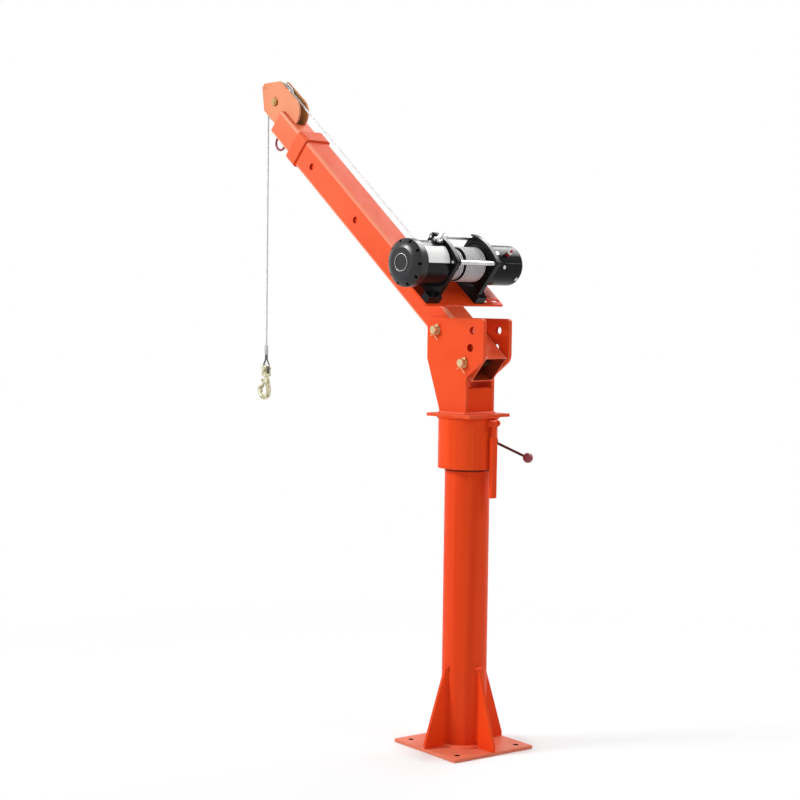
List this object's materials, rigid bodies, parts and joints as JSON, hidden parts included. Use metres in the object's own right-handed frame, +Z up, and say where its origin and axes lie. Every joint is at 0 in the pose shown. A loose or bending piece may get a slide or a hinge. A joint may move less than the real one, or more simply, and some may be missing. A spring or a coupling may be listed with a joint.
{
  "type": "mini slewing crane",
  "caption": "Post-mounted slewing crane: bolted base, slewing head with brake, pinned telescopic boom, electric cable winch, sheave and latch hook.",
  "frame": {"origin": "centre of the base plate's underside, on the post's axis", "axes": "+Z up the post, +X the way the boom reaches, +Y to the winch's gearbox side"},
  "size_m": [0.9658, 0.402, 1.7365],
  "materials": {
    "orange": "gloss",
    "dark_red": "gloss",
    "zinc": "zinc plated",
    "black_paint": "semi-gloss",
    "bright_steel": "bright",
    "rope_steel": "galvanised wire",
    "aluminium": "pressed",
    "bronze": "plain",
    "nylon": "plain",
    "terminal_red": "moulded"
  },
  "bodies": {
    "base": {"base_plate": "orange", "base_gussets": "orange", "post_tube": "orange", "post_cap": "orange", "bearing_race_lower": "bright_steel", "bearing_rollers": "bright_steel"},
    "head": {"bearing_race_upper": "bright_steel", "slew_guide_rings": "nylon", "slew_collar": "orange", "head_flange": "orange", "head_stub_tube": "orange", "cheek_near": "orange", "cheek_far": "orange", "pivot_pin": "zinc", "pivot_keeper": "zinc", "brake_boss": "orange", "handle_lugs": "orange", "handle_bolt": "orange"},
    "brake": {"brake_screw": "dark_red", "brake_lever_rod": "dark_red", "brake_knob": "dark_red"},
    "handle": {"slewing_handle": "orange"},
    "boom": {"boom_outer_tube": "orange", "boom_mouth_band": "orange", "extension_pin": "zinc", "lock_pin": "zinc", "lock_keeper": "zinc", "winch_plate": "orange", "bracket_near": "black_paint", "bracket_far": "black_paint", "foot_bolts": "black_paint", "tie_rods": "bright_steel", "tie_rod_nuts": "black_paint", "gear_housing": "black_paint", "gear_cover": "black_paint", "cover_screws": "black_paint", "motor_case": "black_paint", "motor_terminals": "terminal_red", "motor_screws": "bright_steel", "rope_boom_run": "rope_steel"},
    "clutch": {"clutch_knob": "bright_steel"},
    "drum": {"winch_drum": "black_paint", "drum_rope_top": "rope_steel", "drum_rope_under": "rope_steel"},
    "boom_inner": {"boom_inner_tube": "orange", "head_plate_near": "orange", "head_plate_far": "orange", "sheave_axle_bolt": "zinc", "rope_keeper_pin": "zinc", "lashing_ring": "dark_red", "rope_wrap": "rope_steel"},
    "sheave": {"sheave": "bright_steel", "sheave_bush": "bronze"},
    "fall": {"rope_fall": "rope_steel"},
    "rope_end": {"rope_ferrule": "aluminium", "rope_eye": "rope_steel", "rope_thimble": "bright_steel"},
    "hook": {"hook": "zinc", "hook_pins": "zinc"},
    "latch": {"latch": "zinc"}
  },
  "joints": [
    {"name": "slew", "type": "hinge", "parent": "base", "child": "head", "pos_m": [0, 0, 0.842], "axis": [0, 0, 1], "continuous": true},
    {"name": "brake_turn", "type": "hinge", "parent": "head", "child": "brake", "pos_m": [0, -0.095, 0.774], "axis": [0, 1, 0], "range_deg": [-60, 60]},
    {"name": "handle_swing", "type": "hinge", "parent": "head", "child": "handle", "pos_m": [-0.086, -0.002, 0.8285], "axis": [0, 1, 0], "range_deg": [0, 90]},
    {"name": "boom_luff", "type": "hinge", "parent": "head", "child": "boom", "pos_m": [0.065, 0, 1.059], "axis": [0, 1, 0], "range_deg": [0, 40], "deforming": ["lock_pin", "rope_wrap"]},
    {"name": "boom_extend", "type": "slide", "parent": "boom", "child": "boom_inner", "axis": [0.766, 0, 0.6428], "range_m": [0, 0.46], "deforming": ["rope_boom_run"]},
    {"name": "clutch_turn", "type": "hinge", "parent": "boom", "child": "clutch", "pos_m": [0.02991, 0.088, 1.28135], "axis": [-0.4226, 0, 0.9063], "range_deg": [0, 90]},
    {"name": "drum_spin", "type": "hinge", "parent": "boom", "child": "drum", "pos_m": [0.05611, -0.009, 1.22516], "axis": [0, 1, 0], "range_deg": [-1090, 680]},
    {"name": "sheave_spin", "type": "hinge", "parent": "boom_inner", "child": "sheave", "pos_m": [0.74187, 0, 1.68049], "axis": [0, 1, 0], "range_deg": [-580, 920]},
    {"name": "fall_swing", "type": "hinge", "parent": "boom_inner", "child": "fall", "pos_m": [0.74187, 0, 1.68049], "axis": [0, 1, 0], "range_deg": [-40, 0]},
    {"name": "hoist", "type": "slide", "parent": "fall", "child": "rope_end", "axis": [0, 0, 1], "range_m": [-0.8, 0.5], "deforming": ["rope_fall"]},
    {"name": "hook_swing", "type": "hinge", "parent": "rope_end", "child": "hook", "pos_m": [0.79187, 0, 0.9321], "axis": [0, 1, 0], "range_deg": [-40, 40]},
    {"name": "latch_swing", "type": "hinge", "parent": "hook", "child": "latch", "pos_m": [0.80088, 0, 0.8981], "axis": [0, 1, 0], "range_deg": [0, 36], "stiffness_Nm_per_rad": 0.05, "springref_deg": -11.46}
  ],
  "couplings": [
    {"joint": "sheave_spin", "follows": "drum_spin", "ratio": -0.84},
    {"joint": "hoist", "follows": "drum_spin", "m_per_rad": 0.042},
    {"joint": "fall_swing", "follows": "boom_luff", "ratio": -1}
  ]
}
